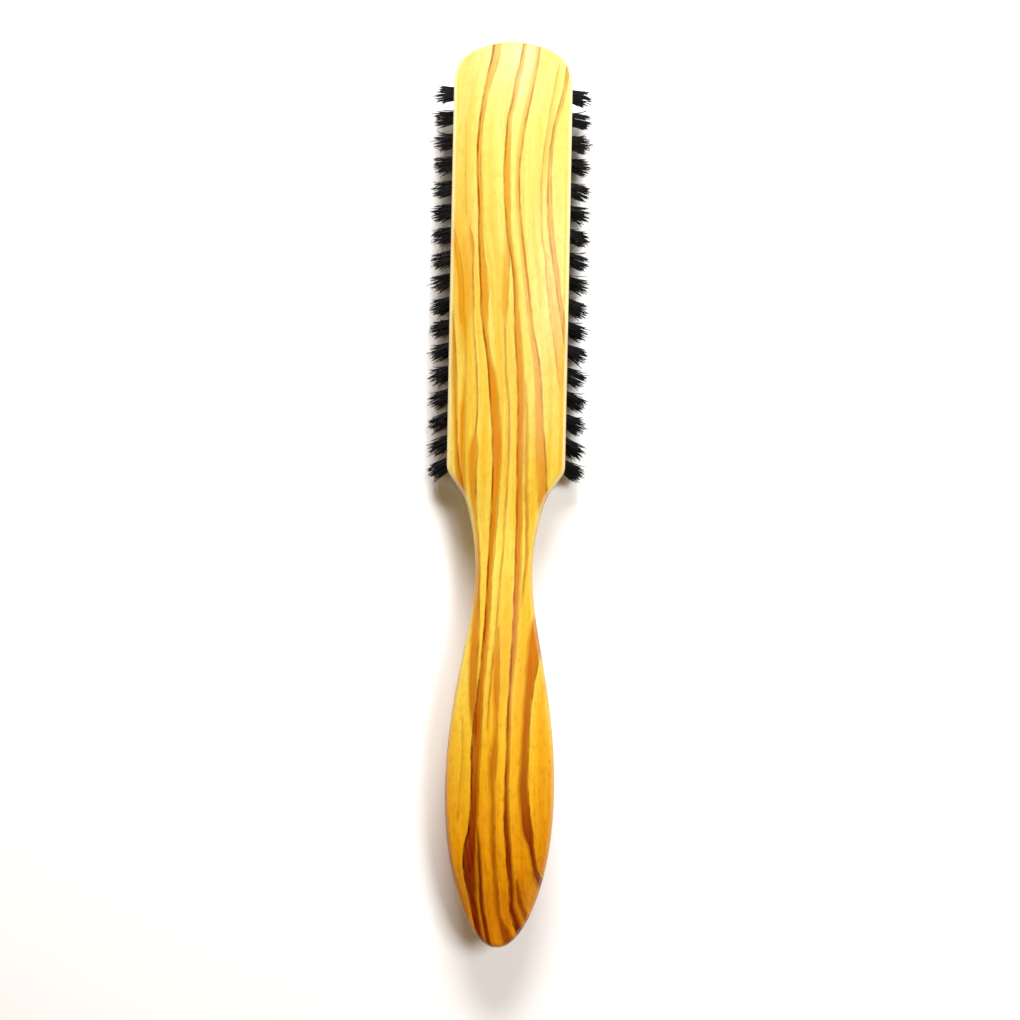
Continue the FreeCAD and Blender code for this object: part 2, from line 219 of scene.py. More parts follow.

# %% [markdown]
# ## Where the veins run
# Each vein is traced along the brush, in millimetres: first its middle, as (place along
# the brush, place across it), then its half width in the same way, 0 where it fades out. The toe is
# at +110 and the tip of the grip at -110. The veins bow to the left in the head, drift right
# towards the neck, and run back left into the grip, all together, because they are one tree's rings.
# `soft` is how wide the band's borders fade, `band` how strong the band is, and `left` and `right`
# how strong the lines along its two borders are. `left_flush` and `left_glow` are soft tints. The
# track along the left edge of the grip is partly a vein and partly painted shade on its shaded side.

# %% Vein tracks
VEINS = {
    "main_left": dict(
        middle=[(110, -3.9), (105, -4.5), (100, -5.8), (95, -6.8), (88, -7.7), (80, -7.9),
                (70, -7.4), (60, -6.9), (50, -5.9), (44, -5.9), (35, -4.9), (30, -3.8), (20, -2.7),
                (10, -2.2), (0, -2.4), (-10, -2.8), (-20, -3.4), (-30, -3.8), (-40, -4.4),
                (-50, -5.2), (-60, -5.8), (-72, -6.0), (-80, -6.2), (-87, -6.9), (-95, -6.3),
                (-105, -5.3), (-110, -4.3)],
        half=[(110, 0.8), (103, 0.8), (95, 0.45), (75, 0.4), (60, 0.45), (50, 0.9), (44, 0.75),
              (36, 0.4), (28, 0.85), (15, 1.05), (5, 0.9), (-10, 0.65), (-25, 0.5), (-42, 0.55),
              (-60, 1.0), (-70, 0.85), (-80, 1.0), (-87, 1.5), (-96, 1.2), (-102, 0.85),
              (-110, 0.7)],
        soft=0.35, band=1.0, left=1.0, right=0.55),
    "grip_left_line": dict(
        middle=[(-78, -5.2), (-85, -4.7), (-91, -4.3), (-100, -3.8), (-110, -2.6)],
        half=[(-78, 0.0), (-83, 0.3), (-92, 0.42), (-110, 0.5)],
        soft=0.2, band=1.0, left=0.6, right=0.6),
    "middle": dict(
        middle=[(110, 2.8), (105, 2.2), (100, 1.0), (95, 0.3), (90, -0.7), (83, -1.0), (75, -1.0),
                (65, -0.5), (60, 0.1), (55, 0.95), (50, 1.5), (42, 2.0), (35, 2.7), (25, 3.3),
                (10, 3.35), (-5, 3.5), (-15, 3.5), (-30, 3.1), (-40, 2.5), (-46, 2.15), (-60, 1.85),
                (-72, 1.7), (-80, 2.0), (-86, 2.6), (-95, 3.45), (-101, 3.7), (-106, 4.5),
                (-110, 5.6)],
        half=[(110, 0.35), (100, 0.5), (93, 0.4), (85, 0.5), (75, 0.65), (65, 0.45), (55, 0.3),
              (46, 0.42), (36, 0.7), (10, 0.65), (-20, 0.65), (-34, 0.55), (-46, 0.35), (-70, 0.42),
              (-84, 0.6), (-100, 0.55), (-110, 0.8)],
        soft=0.3, band=1.0, left=0.9, right=0.45),
    "toe_shade": dict(
        middle=[(110, 1.2), (105, 0.6), (100, -0.6), (94, -1.5), (88, -1.9)],
        half=[(110, 0.35), (105, 0.5), (99, 1.1), (93, 1.1), (87, 0.2)],
        soft=0.9, band=0.38, left=0.2, right=0.0),
    "centre": dict(
        middle=[(66, -1.6), (60, -1.0), (50, -1.2), (43, -1.2), (35, -0.9), (30, -0.6), (22, 0.2),
                (10, 0.35), (0, 0.1), (-10, -0.2), (-20, -1.0), (-30, -1.6), (-40, -2.45),
                (-50, -3.1), (-58, -3.4)],
        half=[(66, 0.0), (60, 0.5), (52, 0.85), (45, 0.7), (40, 0.25), (24, 0.22), (14, 0.34),
              (6, 0.3), (-4, 0.2), (-30, 0.2), (-50, 0.2), (-58, 0.0)],
        soft=0.35, band=0.75, left=0.15, right=0.55),
    "middle_right_line": dict(
        middle=[(30, 4.2), (20, 4.7), (5, 4.9), (-5, 5.3), (-14, 5.4), (-21, 4.9), (-30, 3.9)],
        half=[(30, 0.0), (24, 0.16), (-20, 0.18), (-30, 0.0)],
        soft=0.15, band=0.9, left=0.5, right=0.4),
    "right": dict(
        middle=[(110, 6.0), (105, 5.5), (95, 3.8), (90, 2.8), (85, 2.1), (78, 1.5), (72, 1.6),
                (65, 2.3), (55, 3.5), (45, 4.85), (38, 5.8), (30, 7.1), (20, 7.8), (10, 8.35),
                (0, 9.0), (-8, 10.2)],
        half=[(110, 0.4), (92, 0.45), (78, 0.38), (66, 0.25), (55, 0.4), (42, 0.4), (32, 0.65),
              (20, 0.75), (10, 1.05), (3, 1.15), (-8, 0.6)],
        soft=0.3, band=0.75, left=0.35, right=0.8),
    "grip_right": dict(
        middle=[(-27, 8.6), (-32, 7.4), (-38, 7.5), (-45, 6.7), (-52, 6.1), (-65, 5.65), (-70, 5.6),
                (-75, 6.1), (-80, 6.8), (-85, 7.9), (-90, 8.8), (-99, 10.0)],
        half=[(-27, 0.3), (-34, 1.0), (-39, 1.5), (-45, 1.1), (-60, 0.9), (-72, 1.1), (-80, 1.2),
              (-85, 0.65), (-99, 0.5)],
        soft=0.35, band=1.0, left=0.35, right=0.8),
    "far_right_soft": dict(
        middle=[(105, 11.3), (100, 10.5), (90, 9.1), (80, 8.0), (72, 7.6), (64, 7.7), (56, 9.1),
                (46, 10.5), (36, 11.9), (26, 13.1)],
        half=[(105, 0.0), (98, 0.45), (80, 0.6), (70, 0.35), (60, 0.25), (52, 0.7), (42, 0.8),
              (26, 0.4)],
        soft=0.5, band=0.55, left=0.5, right=0.1),
    "far_right": dict(
        middle=[(106, 13.5), (100, 12.7), (93, 11.2), (89, 10.2), (80, 9.2), (70, 9.3), (60, 10.2),
                (50, 11.8), (40, 13.5), (34, 14.6)],
        half=[(106, 0.3), (90, 0.3), (80, 0.3), (68, 0.45), (56, 0.4), (34, 0.4)],
        soft=0.3, band=0.65, left=0.75, right=0.55),
    "left_thin": dict(
        middle=[(64, -9.9), (58, -9.2), (50, -8.9), (42, -8.6), (30, -7.6), (20, -7.4), (10, -8.1),
                (0, -7.9), (-6, -7.2), (-12, -6.6), (-24, -6.8), (-36, -6.8), (-46, -7.1),
                (-54, -6.7), (-58, -6.4)],
        half=[(64, 0.0), (60, 0.6), (56, 0.25), (40, 0.2), (24, 0.25), (16, 0.3), (10, 1.1),
              (0, 0.8), (-8, 0.5), (-14, 0.7), (-30, 1.0), (-46, 1.05), (-53, 0.8), (-58, 0.2)],
        soft=0.3, band=0.85, left=0.15, right=0.7),
    "left_patch": dict(
        middle=[(64, -14.2), (57, -12.8), (50, -11.9), (44, -11.6), (38, -10.5), (28, -10.4),
                (18, -10.7), (8, -10.6), (0, -10.0)],
        half=[(64, 0.5), (57, 0.8), (48, 0.85), (42, 0.8), (38, 0.25), (26, 0.4), (18, 0.7),
              (8, 0.6), (0, 0.4)],
        soft=0.4, band=1.0, left=0.1, right=0.45),
    "left_edge": dict(
        middle=[(43, -13.6), (34, -13.1), (26, -12.7), (16, -12.3), (8, -11.8), (2, -10.9),
                (-4, -9.2)],
        half=[(43, 0.2), (32, 0.5), (20, 0.4), (8, 0.4), (3, 0.6), (-4, 0.5)],
        soft=0.3, band=1.0, left=0.4, right=0.8),
    "grip_centre": dict(
        middle=[(-31, -1.2), (-40, -1.5), (-47, -1.4), (-56, -1.2), (-66, -1.9), (-76, -1.5),
                (-86, -1.2), (-95, -0.4), (-101, 0.2), (-106, 1.4), (-110, 2.2)],
        half=[(-31, 0.0), (-35, 0.5), (-45, 0.8), (-54, 0.4), (-64, 0.9), (-72, 0.55), (-90, 0.5),
              (-100, 0.5), (-106, 1.1), (-110, 1.3)],
        soft=0.4, band=0.8, left=0.2, right=0.5),
    # Partly a vein and partly painted shade along the left edge of the grip, the side turned away from
    # the light.
    "grip_left_edge_vein_and_shade": dict(
        middle=[(-60, -14.3), (-76, -13.0), (-86, -12.0), (-95, -10.5), (-104, -8.2)],
        half=[(-60, 0.3), (-76, 0.4), (-90, 0.45), (-104, 0.4)],
        soft=0.4, band=0.8, left=0.5, right=0.2),
    "grip_branch": dict(
        middle=[(-92, 4.4), (-97, 5.0), (-103, 5.7), (-109, 6.4)],
        half=[(-92, 0.0), (-96, 0.5), (-109, 0.45)],
        soft=0.3, band=0.85, left=0.1, right=0.5),
    "neck_left_line": dict(
        middle=[(-52, -9.3), (-62, -8.9), (-72, -9.4), (-80, -9.9)],
        half=[(-52, 0.0), (-58, 0.22), (-70, 0.3), (-80, 0.0)],
        soft=0.3, band=0.35, left=0.3, right=0.1),
    "toe_left_line": dict(
        middle=[(92, -11.2), (80, -10.8), (66, -10.6)],
        half=[(92, 0.0), (84, 0.2), (72, 0.2), (66, 0.0)],
        soft=0.2, band=0.3, left=0.25, right=0.0),
    "left_flush": dict(
        middle=[(108, -9.3), (95, -11.0), (80, -11.4), (66, -11.2), (54, -11.0), (44, -11.6),
                (34, -12.4)],
        half=[(108, 2.0), (95, 3.0), (80, 3.3), (66, 3.6), (54, 3.8), (44, 2.6), (34, 0.8)],
        soft=1.8, band=0.32, left=0.0, right=0.0),
    "left_glow": dict(
        middle=[(68, -11.2), (58, -10.8), (48, -10.6), (40, -10.8), (32, -11.4)],
        half=[(68, 0.4), (60, 2.0), (52, 2.8), (44, 2.4), (32, 0.4)],
        soft=1.6, band=0.55, left=0.0, right=0.0),
}
print("vein tracks:", len(VEINS))

# %% [markdown]
# ## Veins into a mask
# A Float Curve node holds a track: it takes the place along the brush, 0 at the tip and 1 at the
# toe, and gives the place across. A border whose line is weak fades over up to FADE more, in
# millimetres. A vein that ends on the brush fades away from RUN_IN before its last point to RUN_OUT
# past it, as shares of the length. The strongest vein at each point wins.

# %% Tracks as curves
HALF_LENGTH, HALF_SPREAD, WIDEST = 110.0, 20.0, 4.0


def share_along(place):
    """Place along the brush in millimetres, as a share from 0 at the tip to 1 at the toe."""
    return (place + HALF_LENGTH) / (2 * HALF_LENGTH)


def track(tree, along, points, low, high):
    """Float Curve through (millimetres along the brush, value) points; its output goes low to high."""
    node = add(tree, "FloatCurve", links={"Value": along})
    curve = node.mapping.curves[0]
    spots = sorted((share_along(y), (value - low) / (high - low)) for y, value in points)
    curve.points[0].location = spots[0]
    curve.points[1].location = spots[-1]
    for spot in spots[1:-1]:
        curve.points.new(*spot)
    node.mapping.extend = "HORIZONTAL"
    node.mapping.update()
    back = add(tree, "MapRange", {"clamp": False}, {"To Min": low, "To Max": high},
               {"Value": node.outputs["Value"]})
    return back.outputs["Result"]


figure_group, g_in, g_out = new_group(
    "olive_figure",
    [("Along", "Float", 0.5), ("Across", "Float", 0.0), ("Band Flicker", "Float", 1.0),
     ("Line Flicker", "Float", 1.0)],
    [("Band", "Float"), ("Line", "Float")],
)
FADE = 0.35
RUN_OUT, RUN_IN = 0.02, 0.01
FIRST_SHARE, LAST_SHARE = 0.01, 0.99


def shown_between(tree, along, start, stop):
    """Output that is 1 between two shares of the length and 0 beyond; a vein may run off an end."""
    here, gone = 1.0, 1.0
    if start > FIRST_SHARE:
        here = smooth(tree, along, start - RUN_OUT, start + RUN_IN)
    if stop < LAST_SHARE:
        gone = smooth(tree, along, stop - RUN_IN, stop + RUN_OUT, 1.0, 0.0)
    return number(tree, "MULTIPLY", here, gone)


band_so_far, line_so_far = 0.0, 0.0
for name, vein in VEINS.items():
    middle = track(figure_group, g_in.outputs["Along"], vein["middle"], -HALF_SPREAD, HALF_SPREAD)
    half = track(figure_group, g_in.outputs["Along"], vein["half"], 0.0, WIDEST)
    node = add(
        figure_group, "Group", {"node_tree": vein_group, "label": name},
        {"Left Fade": vein["soft"] + FADE * (1 - vein["left"]), "Left Line": vein["left"],
         "Right Fade": vein["soft"] + FADE * (1 - vein["right"]), "Right Line": vein["right"]},
        {"Across": g_in.outputs["Across"], "Middle": middle, "Half Width": half},
    )
    ends = [share_along(y) for y, _ in vein["middle"]]
    shown = shown_between(figure_group, g_in.outputs["Along"], min(ends), max(ends))
    tone = number(figure_group, "MULTIPLY", node.outputs["Band"], vein["band"])
    tone = number(figure_group, "MULTIPLY", tone, shown)
    fine = number(figure_group, "MULTIPLY", node.outputs["Line"], shown)
    band_so_far = number(figure_group, "MAXIMUM", tone, band_so_far)
    line_so_far = number(figure_group, "MAXIMUM", fine, line_so_far)
band_out = number(figure_group, "MULTIPLY", band_so_far, g_in.outputs["Band Flicker"])
line_out = number(figure_group, "MULTIPLY", line_so_far, g_in.outputs["Line Flicker"])
figure_group.links.new(band_out, g_out.inputs["Band"])
figure_group.links.new(line_out, g_out.inputs["Line"])
print("nodes in the figure:", len(figure_group.nodes))

# %% [markdown]
# ## Fibre and pores
# Between the veins the wood isn't plain. Close up it has long soft streaks, finer fibre lines and
# tiny dark pores, all drawn out along the grain. Noise textures that are stretched along the flow
# of the veins give all three, and a rounder one gives the faint mottle of the surface.

# %% Node group: fine grain
grain_group, g_in, g_out = new_group(
    "fine_grain",
    [("Along", "Float", 0.0), ("Across", "Float", 0.0), ("Depth", "Float", 0.0)],
    [("Streaks", "Float"), ("Fibre", "Float"), ("Pores", "Float"), ("Mottle", "Float")],
)
DEEPER = 1.6


def stretched_noise(tree, along, across, depth, size, stretch, detail, roughness=0.5):
    """Noise whose spots are size millimetres across and stretch times as long."""
    place = add(tree, "CombineXYZ", links={
        "X": number(tree, "DIVIDE", across, size),
        "Y": number(tree, "DIVIDE", along, size * stretch),
        "Z": number(tree, "DIVIDE", depth, size * DEEPER),
    })
    node = add(tree, "TexNoise", values={"Scale": 1.0, "Detail": detail, "Roughness": roughness},
               links={"Vector": place.outputs["Vector"]})
    return node.outputs["Fac"]


grain_at = [g_in.outputs["Along"], g_in.outputs["Across"], g_in.outputs["Depth"]]
streaks = stretched_noise(grain_group, *grain_at, size=2.4, stretch=34, detail=3.0, roughness=0.6)
fibre = stretched_noise(grain_group, *grain_at, size=0.45, stretch=26, detail=3.0, roughness=0.6)
pores = stretched_noise(grain_group, *grain_at, size=0.32, stretch=7, detail=1.0)
mottle = stretched_noise(grain_group, *grain_at, size=1.1, stretch=2.2, detail=4.0, roughness=0.65)
grain_group.links.new(smooth(grain_group, streaks, low=0.32, high=0.68), g_out.inputs["Streaks"])
grain_group.links.new(smooth(grain_group, fibre, low=0.3, high=0.7), g_out.inputs["Fibre"])
grain_group.links.new(smooth(grain_group, pores, low=0.66, high=0.74), g_out.inputs["Pores"])
grain_group.links.new(mottle, g_out.inputs["Mottle"])

# %% [markdown]
# ## Worn edges with a painted highlight
# Hands wear a wooden brush most on its rounded edges, which end up smoother; a paler colour is also
# painted on them as a highlight, in place of the light their curve catches. On this body the edges
# are where the surface turns from facing up to facing sideways, so the tilt of the surface normal
# finds them: the mask begins at STEEP, is full from SLOPED to GENTLE, and is gone where the surface
# is as level as LEVEL. The four are the upward part of the normal.

# %% Node group: edge wear and painted edge highlight
edge_wear_and_highlight_group, g_in, g_out = new_group("edge_wear_and_highlight", [("Amount", "Float", 1.0)], [("Wear And Highlight", "Float")])
facing = add(edge_wear_and_highlight_group, "NewGeometry")
tilt = add(edge_wear_and_highlight_group, "SeparateXYZ", links={"Vector": facing.outputs["Normal"]}).outputs["Z"]
STEEP, SLOPED, GENTLE, LEVEL = 0.25, 0.55, 0.7, 0.93
# One mask for two things: real wear makes the edges smoother, and a painted highlight makes them paler.
above_sides = smooth(edge_wear_and_highlight_group, tilt, STEEP, SLOPED)
beside_back = smooth(edge_wear_and_highlight_group, tilt, GENTLE, LEVEL, 1.0, 0.0)
upper_edge = number(edge_wear_and_highlight_group, "MULTIPLY", above_sides, beside_back)
edge_wear_and_highlight = number(edge_wear_and_highlight_group, "MULTIPLY", upper_edge, g_in.outputs["Amount"])
edge_wear_and_highlight_group.links.new(edge_wear_and_highlight, g_out.inputs["Wear And Highlight"])

# %% [markdown]
# ## Olive wood, oiled
# Now the groups come together. The colour goes from pale straw at the toe to amber at the grip,
# where the wood is closer to the heart of the tree. Veins go from orange-brown on the head to dark
# red-brown on the grip. Below the back, the sheets lean over, so the sides and the underside show
# their own figure. Noise makes the veins wander, frays their borders and breaks up their lines.
# Each ramp gives its colour at the same ten places along the brush, in millimetres from toe to tip.
# The finish is an oil: a satin surface, smoother along the worn edges, where a paler highlight is also
# painted, most of all on the head.

# %% Olive wood material
# Millimetres: the height below which the sheets lean, how far the veins wander and how far their
# borders fray. SHEET_LEAN is millimetres across for each one of depth.
BACK_LEVEL, WANDER, FRAY = 20.5, 0.5, 0.38
SHEET_LEAN = 0.62
MEAN_NOISE = 0.5
# How much of each kind of grain shows in the colour, from 0 to 1.
STREAK_SHARE, FIBRE_SHARE, FRECKLE_SHARE, PORE_SHARE = 0.8, 0.24, 0.22, 0.22
# The painted edge highlight is weaker on the grip than on the head; it changes in the neck, between two
# shares of the length.
GRIP_EDGE_HIGHLIGHT, HEAD_EDGE_HIGHLIGHT = 0.15, 0.5
EDGE_HIGHLIGHT_FROM, EDGE_HIGHLIGHT_TO = 0.44, 0.52
# Paler colour painted on the edges as a highlight.
PAINTED_EDGE_HIGHLIGHT = (0.90, 0.80, 0.50, 1)
SMOOTHEST, UNEVEN, WORN_SMOOTHER = 0.20, 0.12, 0.05
FIBRE_RELIEF, RELIEF_STRENGTH, RELIEF_DEPTH = 0.5, 0.25, 0.04 * MM
OILED_SHEEN = 0.11
wood = bpy.data.materials.new("oiled_olive_wood")
wood.use_nodes = True
tree = wood.node_tree
shader = tree.nodes["Principled BSDF"]
place = add(tree, "TexCoord").outputs["Object"]
in_mm = add(tree, "VectorMath", {"operation": "SCALE"}, {"Scale": 1 / MM}, {"Vector": place})
axes = add(tree, "SeparateXYZ", links={"Vector": in_mm.outputs["Vector"]})
x, y, z = axes.outputs["X"], axes.outputs["Y"], axes.outputs["Z"]
tip_to_toe = {"From Min": -HALF_LENGTH, "From Max": HALF_LENGTH}
along = add(tree, "MapRange", {"clamp": True}, tip_to_toe, {"Value": y}).outputs["Result"]
wander = stretched_noise(tree, y, x, z, size=4.0, stretch=5, detail=2.0)
wander = number(tree, "SUBTRACT", wander, MEAN_NOISE)
ragged = stretched_noise(tree, y, x, z, size=0.9, stretch=4, detail=2.0, roughness=0.6)
ragged = number(tree, "SUBTRACT", ragged, MEAN_NOISE)
below_back = number(tree, "MINIMUM", number(tree, "SUBTRACT", z, BACK_LEVEL), 0.0)
across = number(tree, "ADD", x, number(tree, "MULTIPLY", wander, WANDER))
across = number(tree, "ADD", across, number(tree, "MULTIPLY", below_back, SHEET_LEAN))
across = number(tree, "ADD", across, number(tree, "MULTIPLY", ragged, FRAY))
drift = track(tree, along, VEINS["middle"]["middle"], -HALF_SPREAD, HALF_SPREAD)
flow = number(tree, "SUBTRACT", across, drift)
grain = add(tree, "Group", {"node_tree": grain_group},
            links={"Along": y, "Across": flow, "Depth": z}).outputs
patchy = stretched_noise(tree, y, flow, z, size=2.2, stretch=6, detail=3.0)
patchy = smooth(tree, patchy, low=0.3, high=0.6, start=0.92, end=1.0)
fibrous = smooth(tree, grain["Fibre"], low=0.0, high=1.0, start=0.93, end=1.0)
broken = stretched_noise(tree, y, flow, z, size=0.9, stretch=8, detail=4.0, roughness=0.6)
broken = smooth(tree, broken, low=0.36, high=0.6, start=0.55, end=1.0)
figure = add(tree, "Group", {"node_tree": figure_group}, links={
    "Along": along,
    "Across": across,
    "Band Flicker": number(tree, "MULTIPLY", patchy, fibrous),
    "Line Flicker": broken,
}).outputs
wear_and_highlight = add(tree, "Group", {"node_tree": edge_wear_and_highlight_group}, {"Amount": 1.0}).outputs["Wear And Highlight"]
COLOUR_PLACES = (106, 84, 59, 35, 10, -14, -38, -62, -86, -106)


def ramp(tree, along, colours):
    """Colour ramp along the brush, with one colour for each of COLOUR_PLACES."""
    node = add(tree, "ValToRGB", links={"Fac": along})
    stops = node.color_ramp.elements
    while len(stops) < len(colours):
        stops.new(0.5)
    by_share = sorted(zip(map(share_along, COLOUR_PLACES), colours))
    for stop, (share, colour) in zip(stops, by_share):
        stop.position = share
        stop.color = (*colour, 1)
    return node.outputs["Color"]


straw = ramp(tree, along, [
    (0.52, 0.47, 0.17), (0.52, 0.45, 0.11), (0.52, 0.43, 0.10), (0.54, 0.43, 0.078),
    (0.60, 0.47, 0.072), (0.68, 0.57, 0.10), (0.70, 0.53, 0.075), (0.72, 0.44, 0.024),
    (0.70, 0.31, 0.004), (0.64, 0.23, 0.004),
])
honey = ramp(tree, along, [
    (0.49, 0.37, 0.070), (0.49, 0.35, 0.050), (0.48, 0.29, 0.024), (0.50, 0.28, 0.014),
    (0.56, 0.29, 0.006), (0.64, 0.36, 0.014), (0.64, 0.30, 0.004), (0.62, 0.26, 0.002),
    (0.54, 0.165, 0.001), (0.47, 0.115, 0.001),
])
tan_colour = ramp(tree, along, [
    (0.42, 0.22, 0.008), (0.42, 0.20, 0.003), (0.44, 0.175, 0.001), (0.43, 0.165, 0.001),
    (0.44, 0.13, 0.0005), (0.48, 0.15, 0.0005), (0.42, 0.11, 0.0005), (0.31, 0.060, 0.0005),
    (0.17, 0.008, 0.0003), (0.15, 0.006, 0.0003),
])
dark = ramp(tree, along, [
    (0.20, 0.070, 0.001), (0.20, 0.062, 0.001), (0.24, 0.065, 0.0005), (0.25, 0.068, 0.0005),
    (0.24, 0.055, 0.0005), (0.24, 0.055, 0.0005), (0.20, 0.030, 0.0003), (0.12, 0.008, 0.0003),
    (0.07, 0.002, 0.0002), (0.06, 0.001, 0.0002),
])
body_colour = paint(tree, number(tree, "MULTIPLY", grain["Streaks"], STREAK_SHARE), straw, honey)
body_colour = paint(tree, number(tree, "MULTIPLY", grain["Fibre"], FIBRE_SHARE), body_colour, honey)
freckles = smooth(tree, grain["Mottle"], low=0.45, high=0.7, start=0.0, end=FRECKLE_SHARE)
body_colour = paint(tree, freckles, body_colour, tan_colour)
with_band = paint(tree, figure["Band"], body_colour, tan_colour)
with_line = paint(tree, figure["Line"], with_band, dark)
with_pores = paint(tree, number(tree, "MULTIPLY", grain["Pores"], PORE_SHARE), with_line, dark)
# Painted highlight: the edge mask lays a paler colour over the wood, more on the head than on the grip.
edge_highlight_share = smooth(tree, along, EDGE_HIGHLIGHT_FROM, EDGE_HIGHLIGHT_TO, GRIP_EDGE_HIGHLIGHT, HEAD_EDGE_HIGHLIGHT)
with_edge_highlight = paint(tree, number(tree, "MULTIPLY", wear_and_highlight, edge_highlight_share), with_pores, PAINTED_EDGE_HIGHLIGHT)
tree.links.new(with_edge_highlight, shader.inputs["Base Color"])
rough = number(tree, "ADD", number(tree, "MULTIPLY", grain["Mottle"], UNEVEN), SMOOTHEST)
# The same edge mask makes the worn edges smoother; that part is real wear.
rough = number(tree, "SUBTRACT", rough, number(tree, "MULTIPLY", wear_and_highlight, WORN_SMOOTHER))
tree.links.new(rough, shader.inputs["Roughness"])
relief = number(tree, "MULTIPLY", grain["Fibre"], FIBRE_RELIEF)
relief = number(tree, "SUBTRACT", relief, grain["Pores"])
bump = add(tree, "Bump", values={"Strength": RELIEF_STRENGTH, "Distance": RELIEF_DEPTH},
           links={"Height": relief})
tree.links.new(bump.outputs["Normal"], shader.inputs["Normal"])
shader.inputs["Specular IOR Level"].default_value = OILED_SHEEN
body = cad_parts["brush_body"]
body.data.materials.clear()
body.data.materials.append(wood)
print("body triangles:", len(body.data.polygons))

# %% [markdown]
# ## Bristle and wire finishes
# Boar bristle dyed black is not pure black: it is a brown-black fibre with a soft sheen, and no two
# tufts are quite alike. The staples are brass wire with fine scratches; they sit deep in the wood,
# and are finished all the same, for anyone who takes the model apart.

# %% Bristle material
# Noise scales are in spots for each metre.
PATCH_SCALE, STRAND_SCALE, SCRATCH_SCALE = 420.0, 3200.0, 9000.0
DEEP_BLACK, BROWN_BLACK = (0.0006, 0.0006, 0.0007, 1), (0.005, 0.0042, 0.0036, 1)
BRISTLE_SHEEN = 0.06


def plain_noise(tree, place, scale, detail):
    """Noise that is as long as it is wide."""
    node = add(tree, "TexNoise", values={"Scale": scale, "Detail": detail}, links={"Vector": place})
    return node.outputs["Fac"]


bristle = bpy.data.materials.new("black_boar_bristle")
bristle.use_nodes = True
tree = bristle.node_tree
shader = tree.nodes["Principled BSDF"]
place = add(tree, "TexCoord").outputs["Object"]
patches = plain_noise(tree, place, PATCH_SCALE, 2.0)
strands = plain_noise(tree, place, STRAND_SCALE, 2.0)
mixed = smooth(tree, number(tree, "MULTIPLY", patches, strands), low=0.15, high=0.42)
tree.links.new(paint(tree, mixed, DEEP_BLACK, BROWN_BLACK), shader.inputs["Base Color"])
dullness = smooth(tree, strands, low=0.3, high=0.7, start=0.5, end=0.7)
tree.links.new(dullness, shader.inputs["Roughness"])
shader.inputs["Specular IOR Level"].default_value = BRISTLE_SHEEN

# %% Staple material
DULL_BRASS, BRIGHT_BRASS = (0.50, 0.36, 0.14, 1), (0.78, 0.62, 0.32, 1)
wire = bpy.data.materials.new("drawn_staple_wire")
wire.use_nodes = True
tree = wire.node_tree
shader = tree.nodes["Principled BSDF"]
place = add(tree, "TexCoord").outputs["Object"]
scratches = plain_noise(tree, place, SCRATCH_SCALE, 3.0)
tree.links.new(paint(tree, scratches, DULL_BRASS, BRIGHT_BRASS), shader.inputs["Base Color"])
dullness = smooth(tree, scratches, low=0.3, high=0.7, start=0.25, end=0.45)
tree.links.new(dullness, shader.inputs["Roughness"])
shader.inputs["Metallic"].default_value = 1.0
for name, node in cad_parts.items():
    if name.startswith("staple_row"):
        node.data.materials.clear()
        node.data.materials.append(wire)

# %% [markdown]
# ## One bristle
# A bristle is a thin tapering hair. At its foot it hooks under the staple, where the real hair
# folds and comes back up as its neighbour. Each hair starts as a three-sided primitive, is extruded
# ring by ring, and every new ring is turned and narrowed a little, as by hand. A few differently
# bent hairs are enough, because they are spun and tilted when the tuft is filled.

# %% Model the hairs
HAIR_RADIUS = 0.145 * MM
HOOK_REACH = 0.45 * MM
HOOK_BEND = 45
BEND_LENGTH, BEND_RISE = 0.3 * MM, 0.2 * MM
INSIDE = 4.6 * MM
FREE = 11.8 * MM
NEAR_TIP = 1.3
# Each ring of the free end: its share of FREE, and its width against the ring before.
TAPER = ((0.30, 1.0), (0.30, 0.97), (0.24, 0.88), (0.16, 0.55))


def start_hair(name):
    """A three-sided stub that lies along the foot hook, with its far end at the origin."""
    bpy.ops.object.select_all(action="DESELECT")
    bpy.ops.mesh.primitive_cylinder_add(
        vertices=3, radius=HAIR_RADIUS, depth=HOOK_REACH, end_fill_type="TRIFAN",
        location=(-HOOK_REACH / 2, 0, 0), rotation=(0, math.radians(90), 0),
    )
    hair = bpy.context.object
    hair.name = name
    bpy.ops.object.transform_apply(location=True, rotation=True, scale=True)
    return hair


def far_face(hair, tip):
    """Selects, in edit mode, only the end of the hair, round the tip."""
    bpy.ops.object.mode_set(mode="EDIT")
    bpy.ops.mesh.select_mode(type="VERT")
    bpy.ops.mesh.select_all(action="DESELECT")
    bpy.ops.object.mode_set(mode="OBJECT")
    for vertex in hair.data.vertices:
        vertex.select = (vertex.co - tip).length < HAIR_RADIUS * NEAR_TIP
    bpy.ops.object.mode_set(mode="EDIT")


def grow(tip, heading, length, turn, sideways, narrow):
    """Extrudes the selected end, turns it by two angles and narrows it. Returns tip and heading."""
    bpy.ops.mesh.extrude_region_move(TRANSFORM_OT_translate={"value": heading * length})
    tip = tip + heading * length
    for angle, axis, unit in ((turn, "Y", (0, 1, 0)), (sideways, "X", (1, 0, 0))):
        if angle:
            bpy.ops.transform.rotate(value=-math.radians(angle), orient_axis=axis, orient_type="GLOBAL",
                                     center_override=tip)
            heading = Matrix.Rotation(math.radians(angle), 3, Vector(unit)) @ heading
    if narrow != 1:
        bpy.ops.transform.resize(value=(narrow, narrow, narrow), center_override=tip)
    return tip, heading


